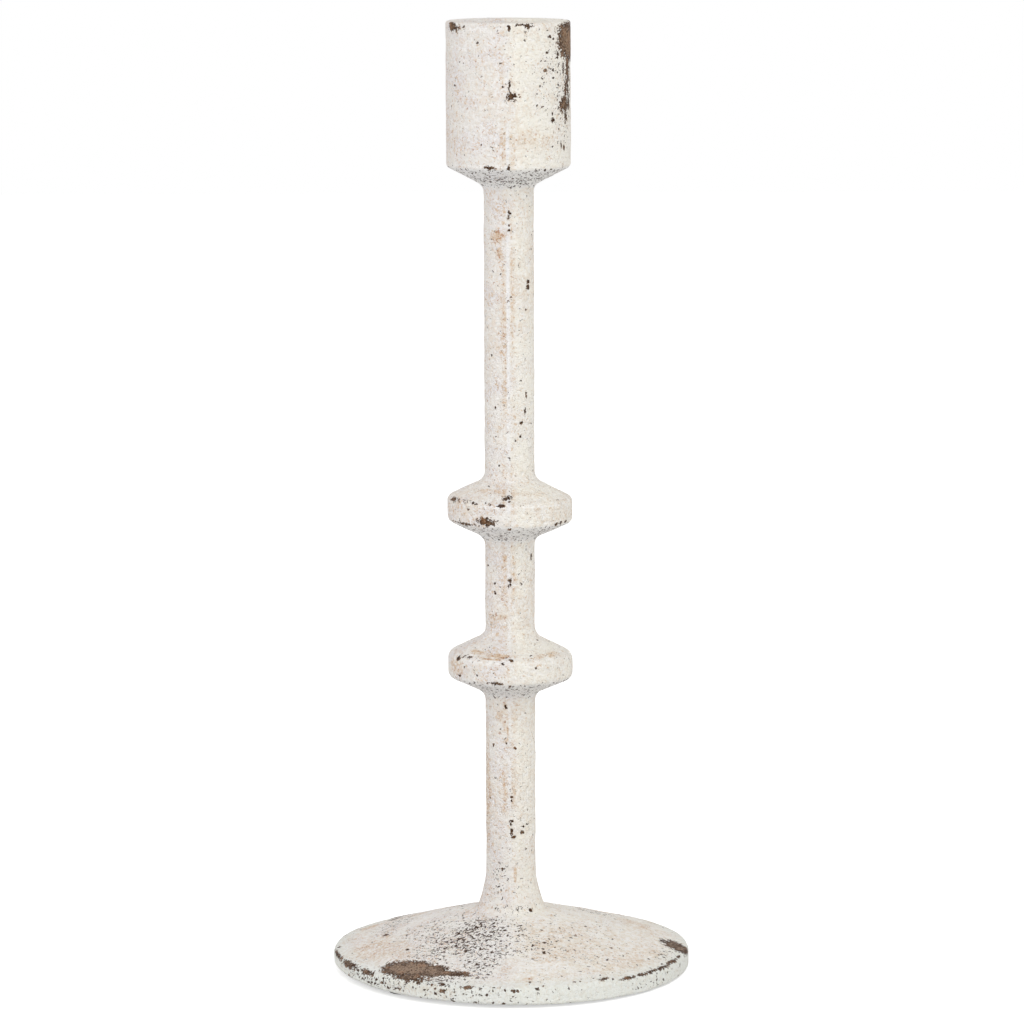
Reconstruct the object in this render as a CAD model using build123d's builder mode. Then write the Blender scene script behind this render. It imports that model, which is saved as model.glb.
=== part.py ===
from build123d import *

import os
from math import cos, radians, tan

# Taper candlestick: one cast iron column, clamped through a dished, cast iron base.
# Millimetres. Z up, origin on the tabletop under the column's axis.
os.makedirs("parts", exist_ok=True)

# ---------------------------------------------------------------- driving dimensions

# Whole casting, from the base's underside to the cup's rim
CASTING_HEIGHT = 305.0

# Felt pads, stuck under the base
PAD_DIAMETER = 10.0
PAD_THICKNESS = 1.5
PAD_INSET = 9.3  # base's edge to a pad's centre
PAD_ANGLES = {
    "felt_pad_back_right": 45,
    "felt_pad_back_left": 135,
    "felt_pad_front_left": 225,
    "felt_pad_front_right": 315,
}

# Base
BASE_DIAMETER = 115.5
BASE_RIM_HEIGHT = 5.1
BASE_SEAT_HEIGHT = 17.4  # underside to the flat that the column stands on
BASE_SEAT_DIAMETER = 24.8
BASE_WALL = 4.5  # iron between the sloping top and the dished underside
BASE_LAND_WIDTH = 15.5  # flat ring under the rim
BASE_HUB_DIAMETER = 22.0
BASE_HUB_FLOOR = 3.5  # iron left under the spigot's recess
BASE_TOP_EDGE = 0.7  # chamfers on the rim and in the dish's corner
BASE_LOWER_EDGE = 0.6
BASE_DISH_CORNER = 1.5
BOLT_HOLE_CLEARANCE = 0.3  # all round the stud

# Column
STEM_DIAMETER = 16.0
FOOT_DIAMETER = 22.6
FOOT_FLARE_HEIGHT = 15.6
KNOP_DIAMETER = 40.0
KNOP_BAND_HEIGHT = 7.6
KNOP_CONE_HEIGHT = 6.0
LOWER_KNOP_HEIGHT = 98.2  # base's underside to the lower knop's middle
KNOP_SPACING = 50.8
CUP_DIAMETER = 39.6
CUP_HEIGHT = 46.0
CUP_CONE_HEIGHT = 6.4
NECK_FILLET = 3.0
KNOP_EDGE = 1.0  # chamfers that stand for the casting's worn edges
CUP_EDGE = 0.9
CUP_RIM_EDGE = 0.6

# Candle socket
SOCKET_DIAMETER = 22.5
SOCKET_DEPTH = 30.0
SOCKET_MOUTH_CHAMFER = 0.8

# Parting line, the thin ridge left where the two halves of the mould met
RIDGE_HEIGHT = 0.3
RIDGE_WIDTH = 0.7

# Spigot under the column, which centres it in the base
SPIGOT_DIAMETER = 14.0
SPIGOT_LENGTH = 2.3
SPIGOT_CLEARANCE = 0.15  # all round
SPIGOT_END_GAP = 0.2

# M6 stud, washers and nut
STUD_DIAMETER = 6.0
STUD_GRIP = 14.0  # length screwed into the column
STUD_TAIL = 0.8  # length past the nut
STUD_END_CHAMFER = 0.6
TAPPED_HOLE_EXTRA = 3.0
THREAD_CLEARANCE = 0.05  # all round, between plain thread cylinders
WASHER_DIAMETER = 12.0
WASHER_CLEARANCE = 0.2  # all round the stud
WASHER_THICKNESS = 1.6
LOCK_WASHER_DIAMETER = 11.8
LOCK_WASHER_CLEARANCE = 0.1
LOCK_WASHER_THICKNESS = 1.6
LOCK_WASHER_SLIT = 1.2
LOCK_WASHER_SLIT_ANGLE = 20.0
NUT_ACROSS_FLATS = 10.0
NUT_HEIGHT = 5.0
NUT_CHAMFER_ANGLE = 30.0

# ---------------------------------------------------------------- worked-out sizes

base_radius = BASE_DIAMETER / 2
stem_radius = STEM_DIAMETER / 2
knop_radius = KNOP_DIAMETER / 2
cup_radius = CUP_DIAMETER / 2
foot_radius = FOOT_DIAMETER / 2
stud_radius = STUD_DIAMETER / 2
thread_bore_radius = stud_radius + THREAD_CLEARANCE

# Heights above the tabletop
base_bottom = PAD_THICKNESS
base_shoulder = base_bottom + BASE_RIM_HEIGHT
seat = base_bottom + BASE_SEAT_HEIGHT
flare_top = seat + FOOT_FLARE_HEIGHT
rim = base_bottom + CASTING_HEIGHT
cup_edge = rim - CUP_HEIGHT
cup_neck = cup_edge - CUP_CONE_HEIGHT
knop_middles = [base_bottom + LOWER_KNOP_HEIGHT + step * KNOP_SPACING for step in (0, 1)]
spigot_end = seat - SPIGOT_LENGTH
recess_floor = spigot_end - SPIGOT_END_GAP
hub_bottom = recess_floor - BASE_HUB_FLOOR
washer_bottom = hub_bottom - WASHER_THICKNESS
lock_washer_bottom = washer_bottom - LOCK_WASHER_THICKNESS
nut_bottom = lock_washer_bottom - NUT_HEIGHT
stud_bottom = nut_bottom - STUD_TAIL
stud_top = spigot_end + STUD_GRIP

# The base's top is a cone from its rim to the seat; the dish under it runs parallel
seat_radius = BASE_SEAT_DIAMETER / 2
top_slope = (seat - base_shoulder) / (base_radius - seat_radius)
dish_radius = base_radius - BASE_LAND_WIDTH


def dish_ceiling(radius):
    """Height of the dished underside at this distance from the axis."""
    return seat - top_slope * (radius - seat_radius) - BASE_WALL


# ---------------------------------------------------------------- column


def knop_corners(middle, proud):
    """One knop's outline from its lower neck to its upper neck."""
    half_band = KNOP_BAND_HEIGHT / 2
    return [
        (stem_radius + proud, middle - half_band - KNOP_CONE_HEIGHT),
        (knop_radius + proud, middle - half_band),
        (knop_radius + proud, middle + half_band),
        (stem_radius + proud, middle + half_band + KNOP_CONE_HEIGHT),
    ]


def column_half_outline(proud=0.0):
    """Closed outline on one side of the axis: flared foot, stem, two knops and cup."""
    flare_end = (stem_radius + proud, flare_top)
    foot_edge = (foot_radius + proud, seat)
    TangentArc(flare_end, foot_edge, tangent=(0, -1))
    Polyline(
        flare_end,
        *knop_corners(knop_middles[0], proud),
        *knop_corners(knop_middles[1], proud),
        (stem_radius + proud, cup_neck),
        (cup_radius + proud, cup_edge),
        (cup_radius + proud, rim),
        (0, rim),
        (0, seat),
        foot_edge,
    )


def corners_at(sketch, radius, low, high):
    """The sketch's corners at this distance from the axis, between two heights."""
    corners = sketch.vertices().filter_by(lambda corner: abs(corner.X - radius) < 0.001)
    return corners.filter_by(lambda corner: low < corner.Y < high)


def soften_column_corners(sketch, proud=0.0):
    """Fillets in the necks and small chamfers on the edges of the knops and the cup."""
    cup_middle = (cup_edge + rim) / 2
    fillet(corners_at(sketch, stem_radius + proud, flare_top + 1, rim), NECK_FILLET)
    chamfer(corners_at(sketch, knop_radius + proud, seat, cup_neck), KNOP_EDGE)
    chamfer(corners_at(sketch, cup_radius + proud, cup_neck, cup_middle), CUP_EDGE)
    chamfer(corners_at(sketch, cup_radius + proud, cup_middle, rim + 1), CUP_RIM_EDGE)


with BuildPart() as column:
    with BuildSketch(Plane.XZ) as half:
        with BuildLine():
            column_half_outline()
        make_face()
        soften_column_corners(half)
    revolve(axis=Axis.Z)

    # parting ridge: the same outline, a little larger, as a thin slice front and back
    with BuildSketch(Plane.YZ) as ridge:
        with BuildLine():
            column_half_outline(RIDGE_HEIGHT)
        make_face()
        soften_column_corners(ridge, RIDGE_HEIGHT)
        mirror(about=Plane.YZ)
    extrude(amount=RIDGE_WIDTH / 2, both=True)

    # spigot, and the tapped hole up its middle
    with BuildSketch(Plane.XY.offset(seat)):
        Circle(SPIGOT_DIAMETER / 2)
    extrude(amount=-SPIGOT_LENGTH)
    with Locations(Plane((0, 0, spigot_end), z_dir=(0, 0, -1))):
        Hole(thread_bore_radius, depth=STUD_GRIP + TAPPED_HOLE_EXTRA)

    # candle socket
    with Locations(Plane.XY.offset(rim)):
        Hole(SOCKET_DIAMETER / 2, depth=SOCKET_DEPTH)
    mouth = column.edges().filter_by(GeomType.CIRCLE).group_by(Axis.Z)[-1].sort_by(SortBy.RADIUS)[0]
    chamfer(mouth, SOCKET_MOUTH_CHAMFER)

column.part.label = "column"
export_step(column.part, "parts/column.step")

# ---------------------------------------------------------------- base

with BuildPart() as base:
    # the solid disc with its conical top
    with BuildSketch(Plane.XZ) as disc:
        with BuildLine():
            Polyline(
                (0, base_bottom),
                (base_radius, base_bottom),
                (base_radius, base_shoulder),
                (seat_radius, seat),
                (0, seat),
                close=True,
            )
        make_face()
        rim_corners = disc.vertices().group_by(Axis.X)[-1].sort_by(Axis.Y)
        chamfer(rim_corners[-1], BASE_TOP_EDGE)
        chamfer(rim_corners[0], BASE_LOWER_EDGE)
    revolve(axis=Axis.Z)

    # the dish cast in its underside, round a thicker hub
    hub_radius = BASE_HUB_DIAMETER / 2
    with BuildSketch(Plane.XZ) as dish:
        with BuildLine():
            Polyline(
                (0, base_bottom),
                (0, hub_bottom),
                (hub_radius, hub_bottom),
                (hub_radius, dish_ceiling(hub_radius)),
                (dish_radius, dish_ceiling(dish_radius)),
                (dish_radius, base_bottom),
                close=True,
            )
        make_face()
        chamfer(dish.vertices().group_by(Axis.X)[-1].sort_by(Axis.Y)[-1], BASE_DISH_CORNER)
    revolve(axis=Axis.Z, mode=Mode.SUBTRACT)

    # recess for the column's spigot, and the bolt hole
    with Locations(Plane.XY.offset(seat)):
        CounterBoreHole(
            radius=stud_radius + BOLT_HOLE_CLEARANCE,
            counter_bore_radius=SPIGOT_DIAMETER / 2 + SPIGOT_CLEARANCE,
            counter_bore_depth=seat - recess_floor,
        )

base.part.label = "base"
export_step(base.part, "parts/base.step")

# ---------------------------------------------------------------- stud, washers and nut

with BuildPart() as stud:
    with BuildSketch(Plane.XY.offset(stud_bottom)):
        Circle(stud_radius)
    extrude(amount=stud_top - stud_bottom)
    chamfer(stud.edges().filter_by(GeomType.CIRCLE), STUD_END_CHAMFER)

stud.part.label = "stud"
export_step(stud.part, "parts/stud.step")

with BuildPart() as flat_washer:
    with BuildSketch(Plane.XY.offset(washer_bottom)):
        Circle(WASHER_DIAMETER / 2)
        Circle(stud_radius + WASHER_CLEARANCE, mode=Mode.SUBTRACT)
    extrude(amount=WASHER_THICKNESS)

flat_washer.part.label = "flat_washer"
export_step(flat_washer.part, "parts/flat_washer.step")

with BuildPart() as lock_washer:
    with BuildSketch(Plane.XY.offset(lock_washer_bottom)):
        Circle(LOCK_WASHER_DIAMETER / 2)
        Circle(stud_radius + LOCK_WASHER_CLEARANCE, mode=Mode.SUBTRACT)
    extrude(amount=LOCK_WASHER_THICKNESS)
    # the slit, cut through one side at a slant
    slit_middle = (0, -LOCK_WASHER_DIAMETER / 2, lock_washer_bottom + LOCK_WASHER_THICKNESS / 2)
    with BuildSketch(Plane(slit_middle, x_dir=(1, 0, 0), z_dir=(0, 1, 0))):
        Rectangle(LOCK_WASHER_SLIT, 4 * LOCK_WASHER_THICKNESS, rotation=LOCK_WASHER_SLIT_ANGLE)
    extrude(amount=LOCK_WASHER_DIAMETER / 2, mode=Mode.SUBTRACT)

lock_washer.part.label = "lock_washer"
export_step(lock_washer.part, "parts/lock_washer.step")

with BuildPart() as hex_nut:
    with BuildSketch(Plane.XY.offset(nut_bottom)):
        RegularPolygon(radius=NUT_ACROSS_FLATS / 2, side_count=6, major_radius=False)
    extrude(amount=NUT_HEIGHT)
    # corners turned off at both ends, starting at the width across the flats
    flat_radius = NUT_ACROSS_FLATS / 2
    corner_radius = flat_radius / cos(radians(30))
    corner_drop = (corner_radius - flat_radius) * tan(radians(NUT_CHAMFER_ANGLE))
    with BuildSketch(Plane.XZ):
        with BuildLine():
            Polyline(
                (0, nut_bottom),
                (flat_radius, nut_bottom),
                (corner_radius, nut_bottom + corner_drop),
                (corner_radius, nut_bottom + NUT_HEIGHT - corner_drop),
                (flat_radius, nut_bottom + NUT_HEIGHT),
                (0, nut_bottom + NUT_HEIGHT),
                close=True,
            )
        make_face()
    revolve(axis=Axis.Z, mode=Mode.INTERSECT)
    with Locations(Plane.XY.offset(nut_bottom + NUT_HEIGHT)):
        Hole(thread_bore_radius)

hex_nut.part.label = "hex_nut"
export_step(hex_nut.part, "parts/hex_nut.step")

# ---------------------------------------------------------------- felt pads

pad_circle_radius = base_radius - PAD_INSET
for name, angle in PAD_ANGLES.items():
    with BuildPart() as felt_pad:
        with BuildSketch():
            with PolarLocations(pad_circle_radius, 1, start_angle=angle):
                Circle(PAD_DIAMETER / 2)
        extrude(amount=PAD_THICKNESS)
    felt_pad.part.label = name
    export_step(felt_pad.part, f"parts/{name}.step")
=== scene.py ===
import math

import bpy
import numpy as np
from bpy.props import FloatProperty, FloatVectorProperty, IntProperty, PointerProperty
from bpy.types import Operator, Panel, PropertyGroup
from mathutils import Matrix, Vector


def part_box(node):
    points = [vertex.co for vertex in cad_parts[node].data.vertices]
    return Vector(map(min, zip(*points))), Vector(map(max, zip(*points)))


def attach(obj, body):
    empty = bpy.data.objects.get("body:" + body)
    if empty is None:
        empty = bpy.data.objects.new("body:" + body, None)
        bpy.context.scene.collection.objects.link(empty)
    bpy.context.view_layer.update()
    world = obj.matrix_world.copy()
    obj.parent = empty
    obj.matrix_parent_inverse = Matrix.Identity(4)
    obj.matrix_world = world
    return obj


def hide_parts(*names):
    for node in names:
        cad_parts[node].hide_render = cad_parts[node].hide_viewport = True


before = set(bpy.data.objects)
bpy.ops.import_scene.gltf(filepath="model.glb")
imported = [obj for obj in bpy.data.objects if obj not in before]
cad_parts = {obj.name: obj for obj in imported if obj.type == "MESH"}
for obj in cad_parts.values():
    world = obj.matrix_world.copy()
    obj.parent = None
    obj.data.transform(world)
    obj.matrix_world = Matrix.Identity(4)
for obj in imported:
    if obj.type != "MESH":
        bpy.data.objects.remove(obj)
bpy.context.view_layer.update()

bl_info = {
    "name": "Iron candlestick",
    "version": (1, 0, 0),
    "blender": (4, 5, 0),
    "location": "3D View > Sidebar > Candlestick",
    "description": "Builds a painted cast iron candlestick on its packed CAD frame",
    "category": "Object",
}

MM = 0.001

# where the mould's halves met: the parting line lies a little left of the middle
SEAM_PLACE = -0.35 * MM

column_low, column_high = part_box("column")
base_low, base_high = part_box("base")
stud_low, stud_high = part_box("stud")
washer_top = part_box("flat_washer")[1].z

PAD_NODES = [name for name in sorted(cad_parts) if name.startswith("felt_pad")]
FASTENER_NODES = ["flat_washer", "lock_washer", "hex_nut"]


def tint(red, green, blue):
    """A colour given as 0 to 255 display values, as linear RGBA."""
    return tuple(
        (value / 255 / 12.92) if value <= 10 else ((value / 255 + 0.055) / 1.055) ** 2.4
        for value in (red, green, blue)
    ) + (1.0,)


# ---------------------------------------------------------------- wear, and painted light and shade
# A mark is (turn, place, half width, half height), and flecks, stains and edges add a
# strength. Turn is in degrees round the axis from the front, positive to the right. Place
# is the height on the column, and on the base the distance from the axis, out along the
# cone and on down the rim, or below nought for the underside. Sizes are in mm.

COLUMN_CHIPS = [
    # bare iron down the right side of the cup
    (80, 299.8, 9.0, 5.8),
    (99, 297.5, 4.4, 7.5),
    (107, 288.5, 2.8, 5.5),
    (96, 305.4, 5.5, 1.4),
    (68, 303.6, 5.2, 2.6),
    (65.5, 300.4, 4.2, 5.0),
    (70, 290.5, 1.1, 7.0),
    (66, 285.5, 0.8, 2.6),
    (61, 292.0, 0.6, 1.8),
    (62.5, 280.6, 2.6, 2.4),
    (74, 280.8, 1.2, 2.0),
    (66, 276.8, 0.9, 1.6),
    # the cup's rim, seam and lower edge
    (-61, 305.0, 2.7, 1.4),
    (20, 305.5, 1.4, 0.7),
    (3, 283.6, 1.5, 1.15),
    (-19, 261.2, 1.5, 0.5),
    # upper knop
    (-65, 154.4, 2.4, 0.7),
    (-3, 156.0, 1.3, 1.1),
    (-22, 148.6, 2.7, 1.1),
    (-47, 147.3, 4.2, 0.35),
    # lower knop
    (-45, 104.2, 1.0, 0.6),
    (-15, 96.7, 2.0, 0.5),
]

COLUMN_DOTS = [
    # cup
    (-45, 305.2, 0.6, 0.4),
    (1, 305.2, 0.4, 1.0),
    (11, 306.0, 1.4, 0.3),
    (1, 286.8, 0.25, 1.9),
    (-7, 294.1, 0.35, 0.35),
    (36, 291.6, 0.6, 0.35),
    (41, 302.1, 0.8, 0.25),
    (38, 297.1, 0.45, 0.3),
    (51, 295.5, 0.6, 0.35),
    (27, 280.8, 0.35, 0.3),
    (32, 280.2, 0.5, 0.3),
    (45, 275.8, 0.7, 0.4),
    (57, 267.6, 0.4, 1.0),
    (62, 267.0, 0.5, 0.8),
    (0, 261.3, 0.4, 0.8),
    (-29, 300.3, 0.3, 0.25),
    # upper stem
    (1, 246.1, 0.55, 0.5),
    (0, 244.9, 0.25, 0.7),
    (-1, 242.1, 0.35, 0.3),
    (0, 240.6, 0.4, 0.35),
    (50, 223.9, 0.6, 0.5),
    (49, 222.4, 0.6, 0.6),
    (4, 219.5, 0.25, 0.25),
    (-1, 217.9, 0.3, 0.3),
    (44, 215.1, 0.35, 0.3),
    (-45, 200.5, 0.35, 0.3),
    (-34, 183.8, 0.35, 0.35),
    (42, 187.6, 0.3, 1.2),
    (39, 182.7, 0.25, 1.0),
    (28, 179.0, 0.5, 0.5),
    (-33, 174.8, 0.3, 0.25),
    (-1, 167.7, 0.3, 0.4),
    (-25, 165.1, 0.35, 0.3),
    # upper knop
    (-41, 152.5, 0.35, 0.35),
    (0, 155.2, 0.45, 0.6),
    (48, 147.4, 0.65, 0.5),
    (54, 147.6, 0.7, 0.3),
    (63, 147.5, 0.7, 0.3),
    (0, 146.5, 0.45, 0.5),
    # middle stem
    (58, 135.3, 0.3, 1.0),
    (-63, 132.4, 0.4, 0.35),
    (0, 128.2, 0.5, 0.6),
    (-1, 126.8, 0.45, 0.65),
    (-38, 127.0, 0.4, 0.4),
    (-37, 124.0, 0.35, 0.4),
    # lower knop
    (-58, 103.4, 0.8, 0.5),
    (-52, 104.1, 0.5, 0.4),
    (-47, 100.9, 0.4, 0.3),
    (-32, 99.0, 0.35, 0.3),
    (-54, 98.0, 0.6, 0.4),
    (1, 104.0, 0.65, 0.6),
    (-7, 103.0, 0.5, 0.3),
    (24, 101.4, 0.45, 0.4),
    (0, 95.8, 0.35, 0.5),
    (23, 105.1, 0.35, 0.3),
    # lower stem
    (-11, 86.9, 0.4, 0.55),
    (-43, 74.1, 0.4, 0.6),
    (10, 73.4, 0.35, 0.35),
    (2, 57.4, 0.3, 0.4),
    (2, 56.2, 0.3, 0.4),
    (2, 49.4, 0.7, 0.4),
    (0, 48.4, 0.4, 0.4),
    (0, 46.4, 0.4, 0.6),
    (1, 45.2, 0.4, 0.5),
    (6, 44.2, 0.65, 0.35),
    (27, 45.7, 0.75, 0.45),
    (29, 47.6, 0.4, 0.35),
    (41, 48.2, 0.45, 0.3),
    (-20, 33.6, 0.35, 0.35),
    (-28, 27.9, 0.35, 0.3),
    (36, 20.2, 0.7, 0.45),
]

COLUMN_FLECKS = [
    # fine dark flecks, with how thickly they lie
    (72, 287.0, 5.0, 10.0, 1.0),
    (60, 288.0, 8.0, 26.0, 0.5),
    (44, 286.0, 8.0, 22.0, 0.32),
    (-45, 154.6, 4.5, 1.2, 0.9),
    (-22, 154.3, 3.0, 0.9, 0.8),
    (-8, 154.1, 2.0, 1.0, 2.0),
    (-35, 154.2, 3.0, 0.7, 1.2),
    (-30, 142.5, 9.0, 3.0, 0.4),
    (-50, 104.0, 5.0, 1.6, 0.5),
    (0, 257.0, 26.0, 3.6, 0.95),
    (0, 92.5, 8.0, 3.0, 0.5),
    (-25, 30.0, 4.0, 12.0, 0.5),
    (0, 20.5, 9.0, 3.0, 0.55),
]

SEAM_RUNS = [
    # where the parting line shows white, as rubbed paint and a painted highlight on its ridge, with
    # painted shadow beside it: height, half length, strength
    (268.0, 11.0, 0.9),
    (289.0, 6.0, 0.5),
    (247.0, 6.0, 0.35),
    (222.0, 22.0, 1.0),
    (196.0, 18.0, 0.9),
    (171.0, 14.0, 0.7),
    (155.0, 5.0, 0.9),
    (131.0, 14.0, 0.6),
    (111.0, 6.0, 0.6),
    (84.0, 10.0, 0.5),
    (62.0, 14.0, 0.6),
    (40.0, 8.0, 0.4),
]

COLUMN_EDGES = [
    # where the edges show white, with their strength: paint rubbed by handling, and a painted
    # highlight on the knops' shoulders and the cup's edges
    (-20, 153.5, 13.0, 0.55, 0.9),
    (35, 153.6, 13.0, 0.45, 0.8),
    (-22, 103.1, 10.0, 0.6, 0.9),
    (20, 103.2, 10.0, 0.45, 0.7),
    (-18, 261.6, 16.0, 0.7, 0.9),
    (30, 261.3, 9.0, 0.4, 0.5),
    (-30, 304.5, 9.0, 1.2, 0.5),
    (-48, 299.0, 5.0, 2.6, 0.6),
    (-35, 272.0, 7.0, 4.0, 0.4),
    (-8, 288.0, 3.0, 12.0, 0.4),
]

COLUMN_STAINS = [
    # tan washes, with their strength
    (-3, 268.0, 0.6, 8.0, 0.9),
    (5, 266.5, 0.5, 6.0, 0.8),
    (40, 264.1, 1.8, 1.2, 1.0),
    (-63, 271.9, 0.9, 0.8, 0.8),
    (-52, 284.8, 3.2, 0.35, 1.3),
    (-57, 285.6, 1.2, 0.3, 1.2),
    (160, 305.6, 2.0, 2.6, 2.0),
    (25, 270.0, 9.0, 5.0, 0.5),
    (-28, 238.5, 3.2, 3.0, 1.0),
    (-21, 232.5, 2.2, 3.5, 0.8),
    (-43, 225.3, 0.7, 0.7, 1.0),
    (6, 225.0, 0.5, 26.0, 0.7),
    (-8, 195.0, 0.8, 26.0, 0.55),
    (-30, 157.5, 9.0, 1.6, 0.5),
    (30, 157.0, 10.0, 2.0, 0.45),
    (4, 141.0, 0.5, 4.5, 0.9),
    (-28, 116.2, 5.5, 1.6, 0.7),
    (4, 121.0, 0.4, 3.0, 0.8),
    (-13, 105.0, 5.5, 1.6, 1.3),
    (-20, 104.2, 4.0, 0.6, 1.6),
    (47, 104.9, 7.0, 1.7, 1.2),
    (30, 104.4, 5.0, 0.6, 1.2),
    (-40, 105.5, 6.0, 1.4, 0.8),
    (-60, 100.5, 6.0, 3.5, 0.7),
    (-2, 100.2, 0.5, 2.8, 0.9),
    (-6, 79.0, 0.5, 5.0, 1.0),
    (10, 32.0, 0.8, 4.0, 0.9),
    (-70, 60.0, 3.0, 30.0, 0.6),
    (-20, 84.0, 4.0, 3.0, 0.5),
    (66, 33.0, 0.8, 1.2, 0.9),
]

BASE_CHIPS = [
    # the big bare patch, front left
    (-44, 52.0, 5.8, 4.4),
    (-38, 50.5, 6.6, 5.4),
    (-30, 49.8, 5.8, 3.8),
    (-21, 49.9, 5.4, 1.5),
    (-36, 55.0, 6.0, 2.2),
    # along the shoulder, from the left round to the right
    (-78, 57.8, 7.5, 0.6),
    (-65, 57.9, 6.2, 1.05),
    (-53, 57.8, 3.0, 0.8),
    (-22.5, 56.7, 0.9, 0.55),
    (-14, 57.2, 1.7, 0.5),
    (1, 58.3, 1.5, 0.5),
    (31.5, 55.8, 1.5, 0.5),
    (41, 57.4, 2.6, 0.5),
    (46.5, 57.5, 1.4, 0.6),
    (51, 57.4, 2.2, 0.5),
    (57, 57.4, 3.2, 0.6),
    (65, 57.0, 3.4, 0.6),
    (72, 56.8, 1.8, 0.45),
    # right-hand patch
    (84, 49.5, 2.4, 0.9),
    (83.5, 52.5, 4.6, 2.4),
    (81.5, 55.5, 4.6, 2.6),
    (81, 57.6, 3.0, 1.0),
    # lower down the rim
    (-44.5, 59.9, 1.0, 0.45),
    (-39, 60.8, 1.2, 0.45),
    (-22, 59.5, 1.0, 0.4),
]

BASE_DOTS = [
    # on the shoulder and the rim
    (-31, 57.4, 0.7, 0.5),
    (-26, 57.4, 0.45, 0.4),
    (-24.5, 58.9, 0.5, 0.4),
    (-52, 61.0, 0.4, 0.35),
    (-48, 59.4, 0.5, 0.35),
    (-42.5, 61.2, 0.5, 0.35),
    (-64.5, 61.4, 0.5, 0.35),
    (-28, 61.1, 0.3, 0.5),
    (-5.5, 57.1, 0.35, 0.25),
    (-2, 57.8, 0.3, 0.3),
    (8.6, 57.6, 0.25, 0.45),
    (10.5, 56.6, 0.35, 0.3),
    (6.4, 53.8, 0.45, 0.3),
    (20.8, 55.4, 0.55, 0.3),
    (23, 55.5, 0.35, 0.3),
    (44, 61.7, 0.4, 0.35),
    (63, 59.5, 0.3, 0.3),
    (-18.5, 62.3, 0.5, 0.3),
    (-11.4, 62.3, 0.7, 0.3),
    (-2.4, 62.4, 0.5, 0.3),
    # on the cone
    (53, 40.2, 0.45, 0.4),
    (17, 36.0, 0.6, 0.35),
    (9, 24.0, 0.4, 0.35),
    (21, 30.0, 0.5, 0.35),
    (26, 22.0, 0.4, 0.35),
    (-54, 41.3, 0.6, 0.35),
    (-83, 41.0, 1.0, 0.4),
    (-86, 56.2, 0.6, 0.4),
]

BASE_FLECKS = [
    (-27, 26.0, 15.0, 20.0, 1.0),
    (-13, 38.0, 11.0, 22.0, 0.8),
    (-38, 34.0, 15.0, 18.0, 0.75),
    (-62, 28.0, 16.0, 18.0, 0.5),
    (8, 28.0, 10.0, 20.0, 0.55),
    (-28, 53.0, 20.0, 9.0, 0.8),
    (-52, 59.5, 26.0, 4.5, 0.75),
    (-12, 60.0, 24.0, 4.5, 0.4),
    (55, 60.0, 20.0, 4.5, 0.35),
    (68, 54.0, 10.0, 6.0, 0.45),
    (40, 34.0, 24.0, 26.0, 0.25),
]

BASE_STAINS = [
    (-66, 46.0, 18.0, 12.0, 0.42),
    (60, 14.8, 1.6, 1.4, 1.0),
    (27, 22.4, 1.4, 1.4, 0.9),
    (6, 52.2, 2.6, 2.0, 1.0),
    (23, 59.9, 1.0, 0.8, 1.0),
    (50, 50.0, 26.0, 6.0, 0.4),
    (30, 33.0, 18.0, 20.0, 0.35),
    (-30, 60.0, 20.0, 3.0, 0.4),
]

BASE_EDGES = [
    # paint rubbed white, with its strength
    (-10, 30.0, 12.0, 18.0, 0.45),
    (-50, 55.5, 18.0, 2.0, 0.5),
    (10, 44.0, 14.0, 8.0, 0.3),
]


def scattered(turns, places, count, half_widths, seed, strength=()):
    """More marks, scattered within these turns and about these places.

    A place is (middle, reach either way, largest half height).
    """
    chance = np.random.default_rng(seed)
    flattest, roundest = 0.35, 1.0
    marks = []
    for _ in range(count):
        half_width = chance.uniform(*half_widths)
        middle, reach, tallest = places[chance.integers(len(places))]
        turn = chance.uniform(*turns)
        place = middle + chance.uniform(-1, 1) * reach
        half_height = min(half_width * chance.uniform(flattest, roundest), tallest)
        marks.append((turn, place, half_width, half_height) + strength)
    return marks


# The side away from the front has worn in the same way, and takes the same painted highlight on its
# knops' shoulders and cup edge. These are its turns.
COLUMN_BACK = (105, 262)
BASE_BACK = (100, 262)
ALL_ROUND = (-180, 180)

COLUMN_CHIPS += scattered(
    COLUMN_BACK,
    [
        (305.3, 0.6, 1.5),
        (261.0, 0.6, 0.7),
        (154.2, 0.6, 0.9),
        (147.2, 0.6, 0.8),
        (103.4, 0.6, 0.9),
        (96.4, 0.6, 0.8),
        (285, 16, 2.5),
    ],
    count=34,
    half_widths=(0.6, 3.0),
    seed=5,
)
COLUMN_FLECKS += scattered(
    COLUMN_BACK,
    [(285, 15, 14), (154, 1, 1.5), (97, 1, 1.5), (40, 18, 10), (200, 40, 12)],
    count=16,
    half_widths=(3, 9),
    seed=6,
    strength=(0.6,),
)
COLUMN_STAINS += scattered(
    COLUMN_BACK,
    [(240, 40, 20), (120, 30, 8), (60, 30, 20), (270, 12, 8)],
    count=18,
    half_widths=(0.6, 5),
    seed=7,
    strength=(0.7,),
)
COLUMN_EDGES += scattered(
    COLUMN_BACK,
    [(153.6, 0.2, 0.5), (103.2, 0.2, 0.5), (261.4, 0.3, 0.6)],
    count=9,
    half_widths=(5, 12),
    seed=8,
    strength=(0.8,),
)
BASE_CHIPS += scattered(
    BASE_BACK,
    [(57.6, 0.5, 1.0), (57.6, 0.5, 0.8), (60.8, 1.2, 0.7), (50, 6, 3)],
    count=40,
    half_widths=(0.7, 4.5),
    seed=15,
)
BASE_FLECKS += scattered(
    BASE_BACK,
    [(35, 15, 14), (52, 5, 6), (60, 2, 3)],
    count=12,
    half_widths=(6, 18),
    seed=16,
    strength=(0.6,),
)
BASE_STAINS += scattered(
    BASE_BACK,
    [(40, 16, 10), (59, 2, 2)],
    count=10,
    half_widths=(2, 12),
    seed=17,
    strength=(0.6,),
)

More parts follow.
